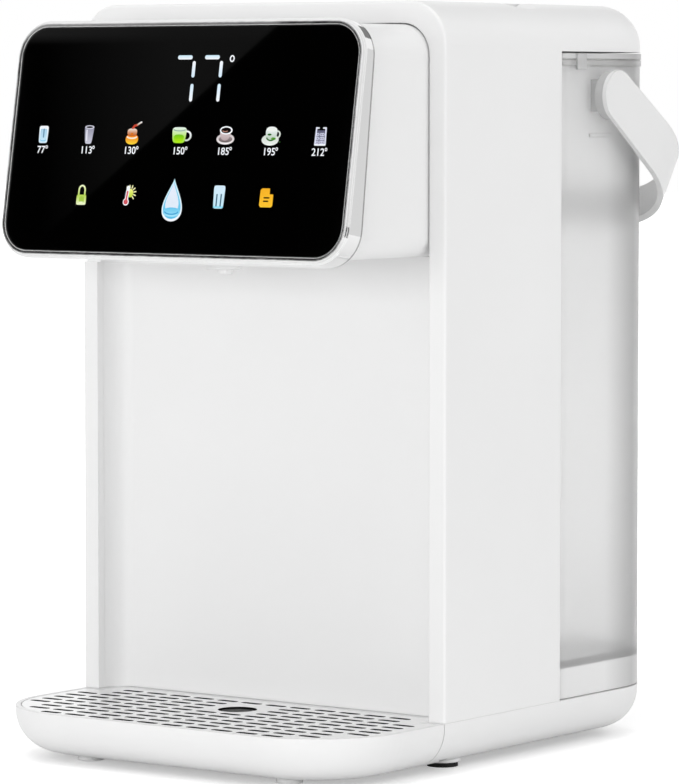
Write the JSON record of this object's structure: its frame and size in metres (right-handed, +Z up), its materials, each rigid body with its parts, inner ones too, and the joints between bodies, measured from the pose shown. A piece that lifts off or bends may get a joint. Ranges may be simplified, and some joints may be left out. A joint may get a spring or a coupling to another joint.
{
  "type": "instant hot water dispenser",
  "caption": "Countertop instant hot water dispenser with a leaning touch panel, cup recess, drip tray with slotted grate, removable frosted rear tank and swinging carry handle.",
  "frame": {"origin": "on the counter, under the middle of the object's bounding box", "axes": "+Z up, front faces -Y, +X to the right seen from the front"},
  "size_m": [0.208, 0.262, 0.316],
  "materials": {
    "white_plastic": "satin white",
    "chrome": "polished",
    "black_glass": "polished",
    "circuit_board": "solder mask",
    "grey_plastic": "matt",
    "dark_plastic": "matt",
    "rubber": "matt",
    "silicone": "satin",
    "steel": "brushed",
    "frosted_plastic": "frosted",
    "handle_plastic": "satin"
  },
  "bodies": {
    "housing": {"outer_shell": "white_plastic", "splash_panel": "white_plastic", "head_cover": "white_plastic", "bezel": "chrome", "touch_glass": "black_glass", "control_board": "circuit_board", "spout_nozzle": "grey_plastic", "base_pan": "white_plastic", "rubber_feet": "rubber", "base_screws": "steel", "cord_gland": "rubber", "tank_seat": "white_plastic", "bay_wall": "white_plastic", "tank_socket": "grey_plastic", "socket_seal": "silicone", "inlet_hose": "silicone", "feed_hose": "silicone", "outlet_hose": "silicone", "pump_motor": "steel", "pump_head": "dark_plastic", "pump_bracket": "rubber", "heater_tube": "steel", "heater_caps": "dark_plastic", "heater_bracket": "steel", "thermal_cutout": "dark_plastic", "power_board": "circuit_board", "lid_hinge_pin": "steel"},
    "drip_tray": {"drip_tray": "white_plastic"},
    "drip_grate": {"drip_grate": "steel"},
    "refill_lid": {"refill_lid": "white_plastic"},
    "impeller": {"pump_impeller": "grey_plastic"},
    "tank": {"tank_shell": "frosted_plastic", "tank_lid": "frosted_plastic", "lid_gasket": "silicone", "handle_lugs": "handle_plastic", "outlet_valve": "grey_plastic", "valve_spring": "steel"},
    "poppet": {"valve_poppet": "grey_plastic", "poppet_seal": "rubber"},
    "handle": {"carry_handle": "handle_plastic"}
  },
  "joints": [
    {"name": "tank_slide", "type": "slide", "parent": "housing", "child": "tank", "axis": [0, 1, 0], "range_m": [0, 0.13]},
    {"name": "handle_swing", "type": "hinge", "parent": "tank", "child": "handle", "pos_m": [0, 0.05803, 0.2775], "axis": [1, 0, 0], "range_deg": [0, 124]},
    {"name": "refill_lid_hinge", "type": "hinge", "parent": "housing", "child": "refill_lid", "pos_m": [0, 0.08993, 0.3139], "axis": [-1, 0, 0], "range_deg": [0, 94]},
    {"name": "tray_slide", "type": "slide", "parent": "housing", "child": "drip_tray", "axis": [0, -1, 0], "range_m": [0, 0.1]},
    {"name": "grate_lift", "type": "slide", "parent": "drip_tray", "child": "drip_grate", "axis": [0, 0, 1], "range_m": [0, 0.05]},
    {"name": "impeller_spin", "type": "hinge", "parent": "housing", "child": "impeller", "pos_m": [0.045, -0.00997, 0.037], "axis": [0, 1, 0], "continuous": true},
    {"name": "valve_close", "type": "slide", "parent": "tank", "child": "poppet", "axis": [0, 1, 0], "range_m": [-0.002, 0], "deforming": ["valve_spring"]}
  ],
  "couplings": [
    {"joint": "valve_close", "follows": "tank_slide", "ratio": -0.01538}
  ]
}
